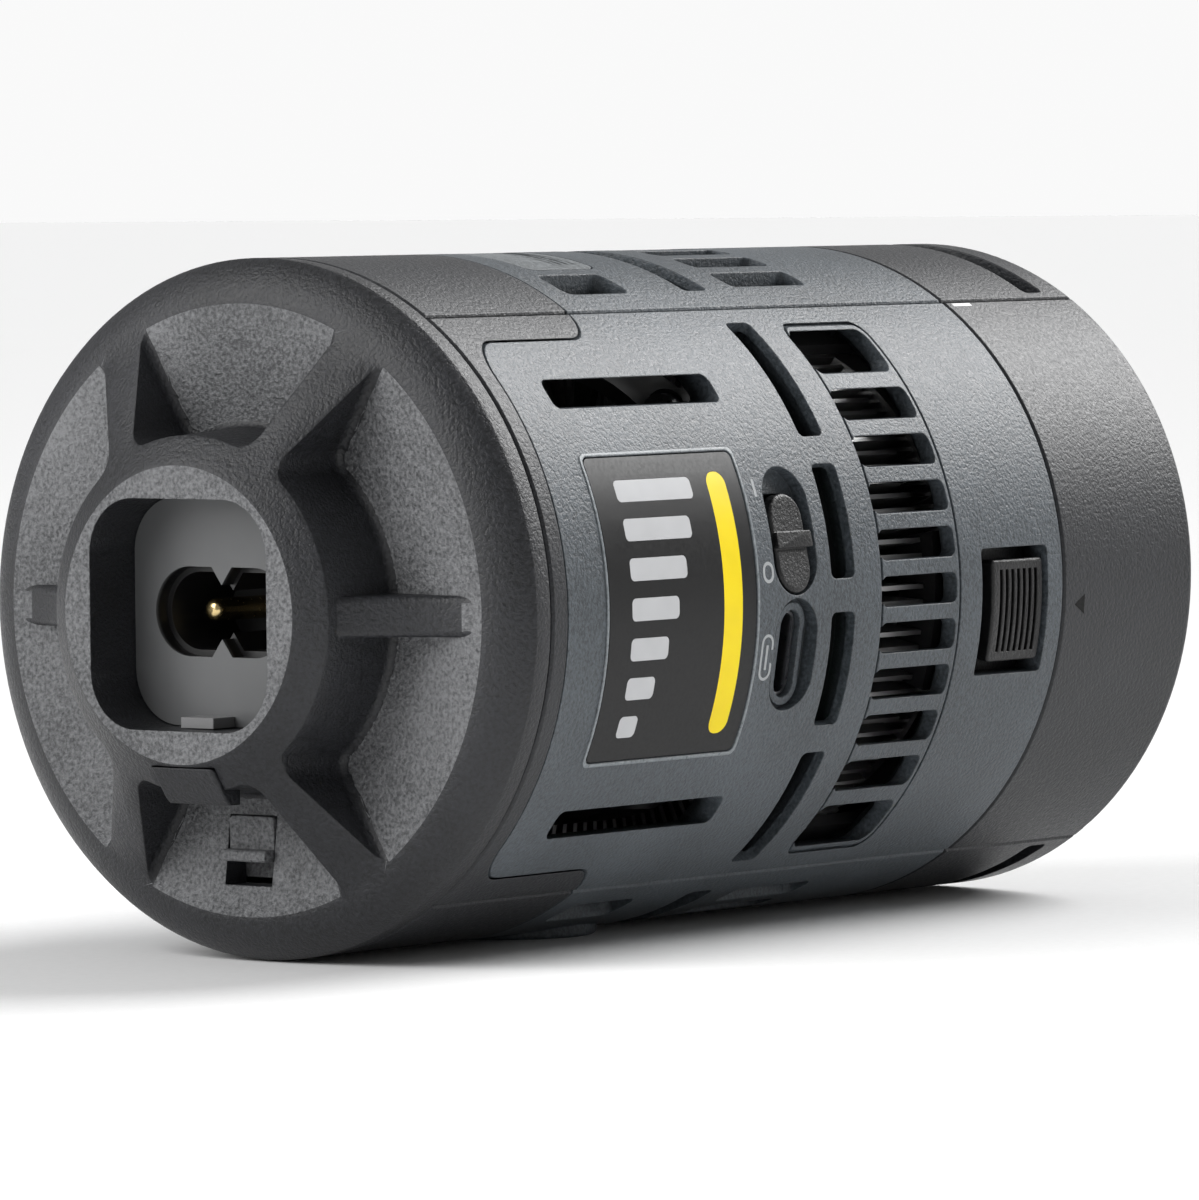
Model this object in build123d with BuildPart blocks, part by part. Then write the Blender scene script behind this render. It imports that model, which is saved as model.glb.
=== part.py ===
from build123d import *
import os
from math import cos, pi, radians, sin

# Compact LED monolight head, millimetres.
# Frame: the light axis is +Y (the beam leaves along +Y), +Z is up, +X is the side with the label,
# and the origin is the centre of the front mouth.  Places along the axis are given as a depth,
# the distance behind the mouth, so a depth of 25 is Y = -25.

# ---- driving dimensions -------------------------------------------------------------------
body_radius = 36.0
wall = 3.0
inner_radius = body_radius - wall
seam_gap = 0.2
seam_vee = 0.35
panel_half_angle = 56.3

collar_seam = 25.0
ear_front = 90.5
skirt_seam = 111.2
cap_seam = 113.7
rim_depth = 116.8
mouth_rounding = 1.1
spoke_foot_depth = 119.3
hub_ring_depth = 127.0
hub_depth = 129.4

rim_radius = 35.57
spoke_foot_radius = 31.1
hub_ring_radius = 18.7
hub_radius = 15.2
pocket_floor_depth = 117.5
pocket_rim_depth = 119.2

ear_height = 27.4
ear_corner = 3.6

window_depth = 44.6
window_length = 13.3
window_height = 3.26
window_pitch = 4.9
end_window_height = 4.5
window_wall = 1.8
slot_wall = 1.2
field_groove = 0.35
curved_slot_depth = 62.7
curved_slot_width = 4.1
rear_slot_depth = 77.1
rear_slot_length = 27.6
rear_slot_height = 2.9
rear_slot_middle = 21.9

label_depth = 79.7
label_length = 24.7
label_half_angle = 25.6
label_recess = 0.9
label_gap = 0.15
stripe_depth = 83.7
stripe_width = 3.1
stripe_half_angle = 22.0
inlay = 0.35

switch_angle = 11.4
switch_depth = 72.8
switch_travel = 2.6
usb_angle = -9.5
usb_depth = 72.8

release_angle = -4.8
release_opening_depth = 27.9
release_opening_width = 13.7
release_travel = 2.0
button_length = 9.2
button_clearance = 0.9
release_opening_length = button_length + release_travel + button_clearance
lock_pin_radius = 1.2
lock_pin_circle = 28.9

latch_travel = 2.3
latch_middle = -24.6
tongue_height = 4.6
latch_slot_width = 6.3
latch_slot_height = tongue_height + latch_travel + 0.3

mount_bore_radius = 27.0
mount_groove_radius = 30.2
mount_front = 0.0
mount_lip = 3.0
mount_groove_back = 9.5
mount_back = 12.5
mount_screw_circle = 31.55

fin_count = 120
fin_thickness = 0.5
fan_radius = 25.0
fan_depth = 62.6
fan_length = 10.0
blade_count = 9

inlet_depth = 122.5
inlet_half = 11.8
inlet_corner = 5.8
pin_spacing = 8.6
pin_radius = 1.18

display_depth = 89.0
display_length = 14.0
display_width = 14.0
facet = 34.3
knob_depth = 73.5
knob_radius = 6.0
buttons_depth = 101.0
button_height = 7.0

tripod_depth = 76.0
tripod_bore_radius = 3.175
tripod_insert_length = 8.0

saddle_half = 2.1

far = 60.0


def station(depth):
    """The plane across the light axis at a depth, with its normal pointing to the rear."""
    return Plane.XZ.offset(depth)


def skin(angle, depth, lift=0.0):
    """A plane on the skin: local x to the front, y up round the body, z outwards."""
    across = radians(angle)
    outwards = Vector(cos(across), 0, sin(across))
    foot = outwards * (body_radius + lift) + Vector(0, -depth, 0)
    return Plane(origin=foot, x_dir=(0, 1, 0), z_dir=outwards)


def wedge_points(start, end):
    """Corners of a wedge from the axis that covers the angles from start to end."""
    steps = 4
    angles = [start + (end - start) * step / steps for step in range(steps + 1)]
    return [(0, 0)] + [(far * cos(radians(angle)), far * sin(radians(angle))) for angle in angles]


def arc_block(inside, outside, start, end, depth, length, corner=0.0):
    """A curved block between two radii and two angles, with rounded corners seen from outside."""
    with BuildPart() as block:
        with BuildSketch(station(depth)):
            Circle(outside)
            Circle(inside, mode=Mode.SUBTRACT)
            with BuildLine():
                Polyline(*wedge_points(start, end), close=True)
            make_face(mode=Mode.INTERSECT)
        extrude(amount=length)
        if corner > 0:
            fillet(block.edges().filter_by(GeomType.LINE).filter_by(Axis.Y, reverse=True), corner)
    return block.part


def finish(piece, name):
    """Labels a finished sub-part and writes it."""
    piece.part.label = name
    export_step(piece.part, f"parts/{name}.step")


os.makedirs("parts", exist_ok=True)

# ---- the outline that parts the skirt from the side panels, seen from the side -----------------
# One prism holds everything that belongs to the skirt; its twin is grown by the seam gap.


def skirt_prism(grow):
    """Everything behind the skirt seam and, above and below the sides, behind the ear's front."""
    with BuildPart() as prism:
        with BuildSketch(Plane.YZ.offset(-far)) as outline:
            with BuildLine():
                seam = -skirt_seam + grow
                front = -ear_front + grow
                low = ear_height - grow
                Polyline(
                    (-cap_seam - 10, -far), (front, -far), (front, -low), (seam, -low),
                    (seam, low), (front, low), (front, far), (-cap_seam - 10, far), close=True,
                )
            make_face()
            corners = outline.vertices().filter_by_position(Axis.Y, -low - 0.1, low + 0.1)
            fillet(corners, ear_corner)
        extrude(amount=2 * far)
    return prism.part


skirt_space = skirt_prism(0)
panel_limit = skirt_prism(seam_gap)


def shell_piece(middle_angle, half_angle, depth, length):
    """One quarter of a ring of the casing, cut back by half a seam at both long edges."""
    trim = seam_gap / 2 / body_radius * 180 / pi
    reach = half_angle - trim
    return arc_block(inner_radius, body_radius, middle_angle - reach, middle_angle + reach, depth, length)


def polar(radius, angle, across=0.0):
    """A sketch point at a radius and an angle, shifted across the radius."""
    turn = radians(angle)
    return (radius * cos(turn) - across * sin(turn), radius * sin(turn) + across * cos(turn))


# A shallow V runs along every seam of the casing, so that the edges of its pieces are broken.
seam_angles = (panel_half_angle, 180 - panel_half_angle, 180 + panel_half_angle, -panel_half_angle)
with BuildPart() as seam_vees:
    with BuildSketch(station(-1)):
        for angle in seam_angles:
            with BuildLine():
                Polyline(
                    polar(body_radius - seam_vee, angle),
                    polar(body_radius + 0.5, angle, seam_vee + 0.5),
                    polar(body_radius + 0.5, angle, -seam_vee - 0.5),
                    close=True,
                )
            make_face()
    extrude(amount=cap_seam + 1)
    with BuildSketch(Plane.XY):
        for depth in (collar_seam - seam_gap / 2, cap_seam - seam_gap / 2):
            with BuildLine():
                Polyline(
                    (body_radius - seam_vee, -depth),
                    (body_radius + 0.5, -depth - seam_vee - 0.5),
                    (body_radius + 0.5, -depth + seam_vee + 0.5),
                    close=True,
                )
            make_face()
    revolve(axis=Axis.Y)


side_half = panel_half_angle
top_half = 90 - panel_half_angle


# ---- front collar: four pieces round the mouth -------------------------------------------------
def collar_piece(name, middle_angle, half_angle, slotted):
    """One piece of the front collar; the top and bottom ones have the long vent behind the mouth."""
    with BuildPart() as piece:
        add(shell_piece(middle_angle, half_angle, 0, collar_seam - seam_gap))
        with BuildSketch(Plane.XY):
            with BuildLine():
                l1 = Line((inner_radius - 1, 0), (body_radius - mouth_rounding, 0))
                l2 = RadiusArc(l1 @ 1, (body_radius, -mouth_rounding), mouth_rounding)
                Polyline(l2 @ 1, (body_radius, -collar_seam - 1), (inner_radius - 1, -collar_seam - 1), l1 @ 0)
            make_face()
        revolve(axis=Axis.Y, mode=Mode.INTERSECT)
        add(seam_vees, mode=Mode.SUBTRACT)
        if slotted:
            reach = half_angle - 1.9
            slot = arc_block(
                inner_radius - 1, body_radius + 1, middle_angle - reach, middle_angle + reach, 4.5, 3.6, 0.8
            )
            add(slot, mode=Mode.SUBTRACT)
    finish(piece, name)


collar_piece("front_collar_right", 0, side_half, False)
collar_piece("front_collar_left", 180, side_half, False)
collar_piece("front_collar_top", 90, top_half, True)
collar_piece("front_collar_bottom", 270, top_half, True)

# ---- side panels ----------------------------------------------------------------------------
panel_length = skirt_seam - collar_seam


def thin_wall(middle_angle, half_angle):
    """Removes the inside of the casing behind the windows and the curved slots."""
    with BuildPart() as pocket_pair:
        add(arc_block(
            inner_radius - 1, body_radius - window_wall, middle_angle - half_angle, middle_angle + half_angle,
            window_depth - 1.6, window_length + 1.8,
        ))
        add(arc_block(
            inner_radius - 1, body_radius - slot_wall, middle_angle - half_angle, middle_angle + half_angle,
            curved_slot_depth - 0.6, curved_slot_width + 1.2,
        ))
    return pocket_pair.part


outer_row = 4 * window_pitch + window_pitch / 2 + end_window_height / 2 + 0.8
field_top = outer_row + end_window_height / 2


def field_frame(side):
    """The fine groove round the field of windows: it touches their rear ends and clears the rest."""
    rear = window_depth + window_length + 0.18
    front = window_depth - 0.8
    size = (rear - front, 2 * field_top + 1.6)
    inside = [side_length - 2 * field_groove for side_length in size]
    with BuildPart() as frame:
        with BuildSketch(Plane.YZ):
            with Locations((-(front + rear) / 2, 0)):
                RectangleRounded(*size, 1.7)
                RectangleRounded(*inside, 1.35, mode=Mode.SUBTRACT)
        extrude(amount=side * far)
        with BuildSketch(station(0)):
            Circle(body_radius - 0.3)
        extrude(amount=far * 2, mode=Mode.SUBTRACT)
    return frame.part


def vented_panel(side):
    """A side panel with its vents, before the openings of its own side; side is 1 or -1."""
    middle_angle = 0 if side > 0 else 180
    with BuildPart() as panel:
        add(shell_piece(middle_angle, side_half, collar_seam, panel_length))
        add(panel_limit, mode=Mode.SUBTRACT)
        add(seam_vees, mode=Mode.SUBTRACT)
        add(thin_wall(middle_angle, 53.5), mode=Mode.SUBTRACT)
        with BuildSketch(Plane.YZ):
            windows = [(-window_depth - window_length / 2, row * window_pitch) for row in range(-4, 5)]
            with Locations(*windows):
                RectangleRounded(window_length, window_height, 0.9)
            ends = [(-window_depth - window_length / 2, sign * outer_row) for sign in (-1, 1)]
            with Locations(*ends):
                RectangleRounded(window_length, end_window_height, 1.2)
            slots = [(-rear_slot_depth - rear_slot_length / 2, sign * rear_slot_middle) for sign in (-1, 1)]
            with Locations(*slots):
                RectangleRounded(rear_slot_length, rear_slot_height, 0.9)
        extrude(amount=side * far, mode=Mode.SUBTRACT)
        for start, end in ((2.8, 22.4), (27.4, 52.1)):
            for sign in (-1, 1):
                first, last = sorted((middle_angle + sign * start, middle_angle + sign * end))
                slot = arc_block(
                    inner_radius - 1, body_radius + 1, first, last, curved_slot_depth, curved_slot_width, 0.8
                )
                add(slot, mode=Mode.SUBTRACT)
        add(field_frame(side), mode=Mode.SUBTRACT)
    return panel.part


with BuildPart() as side_shell_right:
    add(vented_panel(1))
    label_bed = arc_block(
        body_radius - label_recess, body_radius + 1, -label_half_angle, label_half_angle,
        label_depth, label_length, 0.9,
    )
    add(label_bed, mode=Mode.SUBTRACT)
    with BuildSketch(skin(switch_angle, switch_depth, 1)):
        SlotOverall(13.6, 7.4, rotation=90)
    extrude(amount=-2.9, mode=Mode.SUBTRACT)
    with BuildSketch(skin(switch_angle, switch_depth, 1)):
        Rectangle(3.0, 8.3)
    extrude(amount=-8, mode=Mode.SUBTRACT)
    with BuildSketch(skin(usb_angle, usb_depth, 1)):
        SlotOverall(11.9, 7.3, rotation=90)
        SlotOverall(10.9, 4.7, rotation=90, mode=Mode.SUBTRACT)
    extrude(amount=-2.8, mode=Mode.SUBTRACT)
    with BuildSketch(skin(usb_angle, usb_depth, 1)):
        SlotOverall(10.9, 4.7, rotation=90)
    extrude(amount=-2.0, mode=Mode.SUBTRACT)
    with BuildSketch(skin(usb_angle, usb_depth, 1)):
        SlotOverall(9.3, 3.3, rotation=90)
    extrude(amount=-8, mode=Mode.SUBTRACT)
    opening_middle = release_opening_depth + release_opening_length / 2
    with BuildSketch(skin(release_angle, opening_middle, 1)):
        RectangleRounded(release_opening_length, release_opening_width, 0.6)
    extrude(amount=-8, mode=Mode.SUBTRACT)
finish(side_shell_right, "side_shell_right")

side_face = Plane(origin=(-facet, 0, 0), x_dir=(0, -1, 0), z_dir=(-1, 0, 0))
with BuildPart() as side_shell_left:
    add(vented_panel(-1))
    # A flat facet carries the display; round holes take the knob and the two buttons.
    with BuildSketch(side_face):
        with Locations((display_depth, 0)):
            RectangleRounded(display_length + 3, display_width + 3, 1.5)
        with Locations((knob_depth, 0)):
            Circle(knob_radius + 1.2)
    extrude(amount=far, mode=Mode.SUBTRACT)
    with BuildSketch(side_face):
        with Locations((display_depth, 0)):
            RectangleRounded(display_length, display_width, 1.0)
        with Locations((knob_depth, 0)):
            Circle(3.4)
        with Locations((buttons_depth, button_height), (buttons_depth, -button_height)):
            Circle(2.75)
    extrude(amount=far / 4, both=True, mode=Mode.SUBTRACT)
finish(side_shell_left, "side_shell_left")


# ---- top and bottom shells -------------------------------------------------------------------
shell_length = cap_seam - collar_seam
rear_vent_depth = 76.1
rear_vent_length = 10.6
rear_vent_width = 4.4
rear_vent_middle = 14.8
pad_depth = 74.0
pad_length = 11.8
pad_half_angle = 18.0
top_slot_half_angle = 28.0


def cover_shell(up):
    """The vented shell between the side panels; up is 1 for the top and -1 for the bottom."""
    middle_angle = 90 * up
    with BuildPart() as shell:
        add(shell_piece(middle_angle, top_half, collar_seam, ear_front - collar_seam - seam_gap))
        add(seam_vees, mode=Mode.SUBTRACT)
        add(thin_wall(middle_angle, top_slot_half_angle + 1.5), mode=Mode.SUBTRACT)
        with BuildSketch(Plane.XY):
            windows = [(column * window_pitch, -window_depth - window_length / 2) for column in range(-3, 4)]
            with Locations(*windows):
                RectangleRounded(window_height, window_length, 0.9)
            vents = [(sign * rear_vent_middle, -rear_vent_depth - rear_vent_length / 2) for sign in (-1, 1)]
            with Locations(*vents):
                RectangleRounded(rear_vent_width, rear_vent_length, 1.2)
        extrude(amount=up * far, mode=Mode.SUBTRACT)
        slot = arc_block(
            inner_radius - 1, body_radius + 1, middle_angle - top_slot_half_angle,
            middle_angle + top_slot_half_angle, curved_slot_depth, curved_slot_width, 0.8,
        )
        add(slot, mode=Mode.SUBTRACT)
    return shell.part


with BuildPart() as top_shell:
    add(cover_shell(1))
    pad_bed = arc_block(
        body_radius - 0.9, body_radius + 1, 90 - pad_half_angle, 90 + pad_half_angle, pad_depth, pad_length, 1.5
    )
    add(pad_bed, mode=Mode.SUBTRACT)
finish(top_shell, "top_shell")

boss_radius = 9.0
boss_foot = body_radius + 0.2
with BuildPart() as bottom_shell:
    add(cover_shell(-1))
    with BuildSketch(Plane.XY.offset(-boss_foot)):
        with Locations((0, -tripod_depth)):
            Circle(boss_radius)
    extrude(amount=boss_foot - inner_radius + 5.5)
    boss_rim = bottom_shell.edges().filter_by(GeomType.CIRCLE).sort_by(Axis.Z)[0]
    fillet(boss_rim, 0.4)
    with BuildSketch(Plane.XY.offset(-boss_foot)):
        with Locations((0, -tripod_depth)):
            Circle(5.0)
    extrude(amount=12, mode=Mode.SUBTRACT)
finish(bottom_shell, "bottom_shell")

with BuildPart() as top_pad:
    add(arc_block(
        body_radius - 0.9, body_radius - 0.02, 90 - pad_half_angle + 0.3, 90 + pad_half_angle - 0.3,
        pad_depth + 0.15, pad_length - 0.3, 1.4,
    ))
    for groove in range(4):
        cut = arc_block(
            body_radius - 0.35, body_radius + 1, 90 - pad_half_angle + 3, 90 + pad_half_angle - 3,
            pad_depth + 1.6 + 1.1 * groove, 0.5,
        )
        add(cut, mode=Mode.SUBTRACT)
finish(top_pad, "top_pad")


# ---- rear skirt: four pieces, the top and bottom ones reach forward as ears ----------------------
def skirt_piece(name, middle_angle, half_angle):
    """One piece of the rear skirt; the seam outline gives it its ears."""
    with BuildPart() as piece:
        add(shell_piece(middle_angle, half_angle, ear_front, cap_seam - ear_front - seam_gap))
        add(skirt_space, mode=Mode.INTERSECT)
        add(seam_vees, mode=Mode.SUBTRACT)
    finish(piece, name)


skirt_piece("rear_skirt_right", 0, side_half)
skirt_piece("rear_skirt_left", 180, side_half)
skirt_piece("rear_skirt_top", 90, top_half)
skirt_piece("rear_skirt_bottom", 270, top_half)


# ---- rear cap ----------------------------------------------------------------------------------
def pocket(start, end):
    """A wedge-shaped pocket of the rear cap: steep at the hub, running out at the rim."""
    top = hub_depth + 4
    outer = spoke_foot_radius + 3
    slope = (pocket_rim_depth - pocket_floor_depth) / (spoke_foot_radius - hub_ring_radius)
    with BuildPart() as block:
        with BuildSketch(Plane.XY.rotated((0, -start, 0))):
            with BuildLine():
                Polyline(
                    (hub_ring_radius, -pocket_floor_depth),
                    (outer, -pocket_rim_depth - 3 * slope),
                    (outer, -top),
                    (hub_ring_radius - 0.8, -top),
                    close=True,
                )
            make_face()
        revolve(axis=Axis.Y, revolution_arc=-(end - start))
        lines = block.edges().filter_by(GeomType.LINE)
        posts = [edge for edge in lines if abs(edge.length - (top - pocket_floor_depth)) < 0.1]
        fillet(posts, 2.2)
        floor = block.faces().filter_by(GeomType.CONE).sort_by(Axis.Y)[-1]
        rim = [edge for edge in floor.edges().filter_by(GeomType.CIRCLE) if edge.radius > outer - 0.5]
        fillet([edge for edge in floor.edges() if edge not in rim], 0.9)
    return block.part



def saddle_bar(side):
    """The level bar from the hub to the rim, which dips between them; side is 1 or -1."""
    with BuildPart() as bar:
        with BuildSketch(Plane.XY):
            with BuildLine():
                hub_end = (side * 17.6, -hub_ring_depth)
                rim_end = (side * 32.2, -spoke_foot_depth + 0.4)
                top = ThreePointArc(hub_end, (side * 24.0, -121.0), rim_end)
                Polyline(top @ 1, (side * 32.2, -116.4), (side * 17.6, -116.4), top @ 0)
            make_face()
        extrude(amount=saddle_half, both=True)
        fillet(bar.edges().filter_by(GeomType.CIRCLE), 0.7)
    return bar.part


cover_half = 4.2
inner_face_depth = 115.5
with BuildPart() as rear_cap:
    with BuildSketch(Plane.XY):
        with BuildLine():
            l1 = Polyline(
                (0, -inner_face_depth), (0, -hub_depth), (hub_radius, -hub_depth),
                (hub_ring_radius, -hub_ring_depth), (spoke_foot_radius, -spoke_foot_depth),
            )
            l2 = ThreePointArc(l1 @ 1, (33.7, -118.35), (rim_radius, -rim_depth))
            Polyline(
                l2 @ 1, (body_radius, -rim_depth + 0.7), (body_radius, -cap_seam),
                (31.3, -cap_seam), (31.3, -inner_face_depth), l1 @ 0,
            )
        make_face()
    revolve(axis=Axis.Y)
    pockets = [(65, 115), (-115, -65), (-54, 54), (126, 234)]
    for start, end in pockets:
        add(pocket(start, end), mode=Mode.SUBTRACT)
    for side in (-1, 1):
        add(saddle_bar(side))
    with BuildSketch(station(cap_seam - 6)):
        Circle(32.7)
        Circle(31.3, mode=Mode.SUBTRACT)
    extrude(amount=6 + inner_face_depth - cap_seam)
    with BuildSketch(station(inner_face_depth - 1)):
        RectangleRounded(2 * inlet_half, 2 * inlet_half, inlet_corner)
        with Locations((0, latch_middle)):
            Rectangle(latch_slot_width, latch_slot_height)
    extrude(amount=20, mode=Mode.SUBTRACT)
    with BuildSketch(station(124.5)):
        with Locations((0, -17.3)):
            Rectangle(2 * cover_half, 3.8)
    extrude(amount=8, mode=Mode.SUBTRACT)
    add(seam_vees, mode=Mode.SUBTRACT)
finish(rear_cap, "rear_cap")

with BuildPart() as latch_cover:
    with BuildSketch(Plane.YZ.offset(-cover_half + 0.15)):
        with BuildLine():
            Polyline(
                (-124.6, -15.55), (-129.2, -15.55), (-126.9, -18.9), (-126.3, -19.4), (-124.6, -19.4),
                close=True,
            )
        make_face()
    extrude(amount=2 * (cover_half - 0.15))
finish(latch_cover, "latch_cover")

with BuildPart() as rear_latch:
    with BuildSketch(station(113.4)):
        with Locations((0, -22.9)):
            Rectangle(11.0, 9.4)
    extrude(amount=1.9)
    with BuildSketch(station(115.0)):
        with Locations((0, -23.4)):
            RectangleRounded(latch_slot_width - 0.4, tongue_height, 0.5)
    extrude(amount=3.2)
    # The finger bar stands proud of the tongue.
    with BuildSketch(station(118.0)):
        with Locations((0, -25.1)):
            Rectangle(latch_slot_width - 0.4, 1.2)
    extrude(amount=1.7)
    bar_edges = rear_latch.edges().filter_by(Axis.X).sort_by(Axis.Y)[:2]
    fillet(bar_edges, 0.35)
finish(rear_latch, "rear_latch")


def coil(name, radius, wire, length, turns, start, along):
    """A small coil spring that starts at a point and runs along a direction."""
    with BuildPart() as spring:
        with BuildLine() as path:
            Helix(pitch=length / turns, height=length, radius=radius, center=start, direction=along)
        with BuildSketch(Plane(origin=path.line @ 0, z_dir=path.line % 0)):
            Circle(wire / 2)
        sweep(is_frenet=True)
    finish(spring, name)


coil("latch_spring", 1.4, 0.35, 3.4, 4, (0, -113.6, -17.9), (0, 0, 1))

# ---- chassis ------------------------------------------------------------------------------------
chassis_radius = inner_radius - 0.05
with BuildPart() as chassis:
    for middle in (panel_half_angle, 180 - panel_half_angle, 180 + panel_half_angle, -panel_half_angle):
        add(arc_block(31.6, chassis_radius, middle - 5, middle + 5, mount_back + 0.1, 94.8))
    rings = [(mount_back + 0.1, 11.4, 30.5), (58.4, 3.6, 32.0), (105.0, 2.5, 30.5)]
    for depth, length, inside in rings:
        with BuildSketch(station(depth)):
            Circle(chassis_radius)
            Circle(inside, mode=Mode.SUBTRACT)
        extrude(amount=length)
    for middle in (45, 135, 225, 315):
        add(arc_block(23.6, 31.0, middle - 6, middle + 6, 24.1, 3.9))
        add(arc_block(30.0, 31.8, middle - 6, middle + 6, 22.0, 6.0))
finish(chassis, "chassis")

# ---- accessory mount, lamp and cooling --------------------------------------------------------------
with BuildPart() as accessory_mount:
    with BuildSketch(station(mount_front)):
        Circle(chassis_radius)
        Circle(mount_bore_radius, mode=Mode.SUBTRACT)
    extrude(amount=mount_back - mount_front)
    with BuildSketch(station(mount_front + mount_lip)):
        Circle(mount_groove_radius)
        Circle(mount_bore_radius - 1, mode=Mode.SUBTRACT)
    extrude(amount=mount_groove_back - mount_front - mount_lip, mode=Mode.SUBTRACT)
    for middle in (90, 210, 330):
        entry = arc_block(20, mount_groove_radius, middle - 13, middle + 13, 0, mount_groove_back)
        add(entry, mode=Mode.SUBTRACT)
    with BuildSketch(station(0)):
        with PolarLocations(lock_pin_circle, 1, start_angle=release_angle):
            Circle(lock_pin_radius + 0.06)
    extrude(amount=mount_back + 1, mode=Mode.SUBTRACT)
    with BuildSketch(station(0)):
        with PolarLocations(mount_screw_circle, 4, start_angle=45):
            Circle(1.05)
    extrude(amount=mount_back + 1, mode=Mode.SUBTRACT)
    with BuildSketch(station(0)):
        with PolarLocations(mount_screw_circle, 4, start_angle=45):
            Circle(1.2)
    extrude(amount=1.0, mode=Mode.SUBTRACT)
finish(accessory_mount, "accessory_mount")

with BuildPart() as mount_screws:
    with BuildSketch(station(0.2)):
        with PolarLocations(mount_screw_circle, 4, start_angle=45):
            Circle(1.15)
    extrude(amount=0.8)
    with BuildSketch(station(0.9)):
        with PolarLocations(mount_screw_circle, 4, start_angle=45):
            Circle(1.0)
    extrude(amount=mount_back - 1.1)
    with BuildSketch(station(0.2)):
        with PolarLocations(mount_screw_circle, 4, start_angle=45):
            RegularPolygon(0.6, 6)
    extrude(amount=0.5, mode=Mode.SUBTRACT)
finish(mount_screws, "mount_screws")

with BuildPart() as lamp_barrel:
    with BuildSketch(station(mount_back + 0.1)):
        Circle(mount_bore_radius - 0.2)
        Circle(25.0, mode=Mode.SUBTRACT)
    extrude(amount=9.6)
    with BuildSketch(station(mount_back + 0.1)):
        Circle(mount_bore_radius - 0.2)
        Circle(23.4, mode=Mode.SUBTRACT)
    extrude(amount=0.8)
finish(lamp_barrel, "lamp_barrel")

with BuildPart() as front_glass:
    with BuildSketch(station(mount_back + 1.0)):
        Circle(24.9)
    extrude(amount=2.0)
    chamfer(front_glass.edges(), 0.25)
finish(front_glass, "front_glass")

with BuildPart() as glass_seal:
    with BuildSketch(station(mount_back + 3.05)):
        Circle(24.9)
        Circle(23.6, mode=Mode.SUBTRACT)
    extrude(amount=1.0)
finish(glass_seal, "glass_seal")

with BuildPart() as reflector:
    with BuildSketch(Plane.XY):
        with BuildLine():
            bowl = Spline((10.2, -26.2), (15.5, -23.2), (23.3, -16.8))
            back = Spline((23.9, -17.4), (16.2, -23.9), (10.9, -26.2))
            Line(bowl @ 1, back @ 0)
            Line(back @ 1, bowl @ 0)
        make_face()
    revolve(axis=Axis.Y)
    with BuildSketch(station(16.7)):
        Circle(24.8)
        Circle(23.35, mode=Mode.SUBTRACT)
    extrude(amount=0.8)
finish(reflector, "reflector")

with BuildPart() as led_board:
    with BuildSketch(station(26.5)):
        RectangleRounded(28, 28, 1.0)
    extrude(amount=1.6)
finish(led_board, "led_board")

with BuildPart() as led_emitter:
    with BuildSketch(station(25.9)):
        Circle(8.8)
    extrude(amount=0.6)
finish(led_emitter, "led_emitter")

with BuildPart() as led_frame:
    with BuildSketch(station(25.8)):
        Circle(10.1)
        Circle(8.9, mode=Mode.SUBTRACT)
    extrude(amount=0.7)
finish(led_frame, "led_frame")

fin_steps = [(33.0, 11.5, 26.0), (44.5, 17.0, 31.5)]
with BuildPart() as heat_sink:
    with BuildSketch(station(28.1)):
        Circle(26.6)
    extrude(amount=5.0)
    for depth, length, reach in fin_steps:
        with BuildSketch(station(depth)):
            Circle(18.0)
            with PolarLocations((17.0 + reach) / 2, fin_count):
                Rectangle(reach - 17.0, fin_thickness)
            Circle(14.0, mode=Mode.SUBTRACT)
        extrude(amount=length)
finish(heat_sink, "heat_sink")

with BuildPart() as heat_sink_screws:
    with BuildSketch(station(22.6)):
        with PolarLocations(25.8, 4, start_angle=45):
            Circle(1.6)
    extrude(amount=1.5)
finish(heat_sink_screws, "heat_sink_screws")

# ---- fan ----------------------------------------------------------------------------------------
bearing_radius = 1.53
axle_radius = 1.5
with BuildPart() as fan_frame:
    with BuildSketch(station(fan_depth)):
        Circle(fan_radius)
        with PolarLocations(26.4, 4, start_angle=45):
            Circle(3.0)
        Circle(23.4, mode=Mode.SUBTRACT)
        with PolarLocations(26.6, 4, start_angle=45):
            Circle(1.5, mode=Mode.SUBTRACT)
    extrude(amount=fan_length)
    with BuildSketch(station(fan_depth + fan_length - 1.4)):
        Circle(10.4)
        with PolarLocations(16.5, 4, start_angle=20):
            Rectangle(15.0, 2.4)
    extrude(amount=1.4)
    with BuildSketch(station(fan_depth + 2.6)):
        Circle(2.8)
    extrude(amount=fan_length - 3.0)
    with BuildSketch(station(fan_depth)):
        Circle(bearing_radius)
    extrude(amount=fan_length, mode=Mode.SUBTRACT)
finish(fan_frame, "fan_frame")

with BuildPart() as fan_rotor:
    with BuildSketch(station(fan_depth + 0.5)):
        Circle(10.2)
    extrude(amount=7.3)
    with BuildSketch(station(fan_depth + 1.7)):
        Circle(9.0)
    extrude(amount=7.3, mode=Mode.SUBTRACT)
    with BuildSketch(station(fan_depth + 0.5)):
        Circle(axle_radius)
    extrude(amount=3.0, mode=Mode.SUBTRACT)
    for blade in range(blade_count):
        outwards = Vector(1, 0, 0).rotate(Axis.Y, 360 / blade_count * blade)
        blade_middle = Vector(0, -fan_depth - 4.4, 0)
        with BuildSketch(Plane(origin=outwards * 10.0 + blade_middle, x_dir=(0, 1, 0), z_dir=outwards)):
            Rectangle(7.4, 0.8, rotation=38)
        with BuildSketch(Plane(origin=outwards * 22.9 + blade_middle, x_dir=(0, 1, 0), z_dir=outwards)):
            Rectangle(8.4, 0.7, rotation=52)
        loft()
finish(fan_rotor, "fan_rotor")

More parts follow.
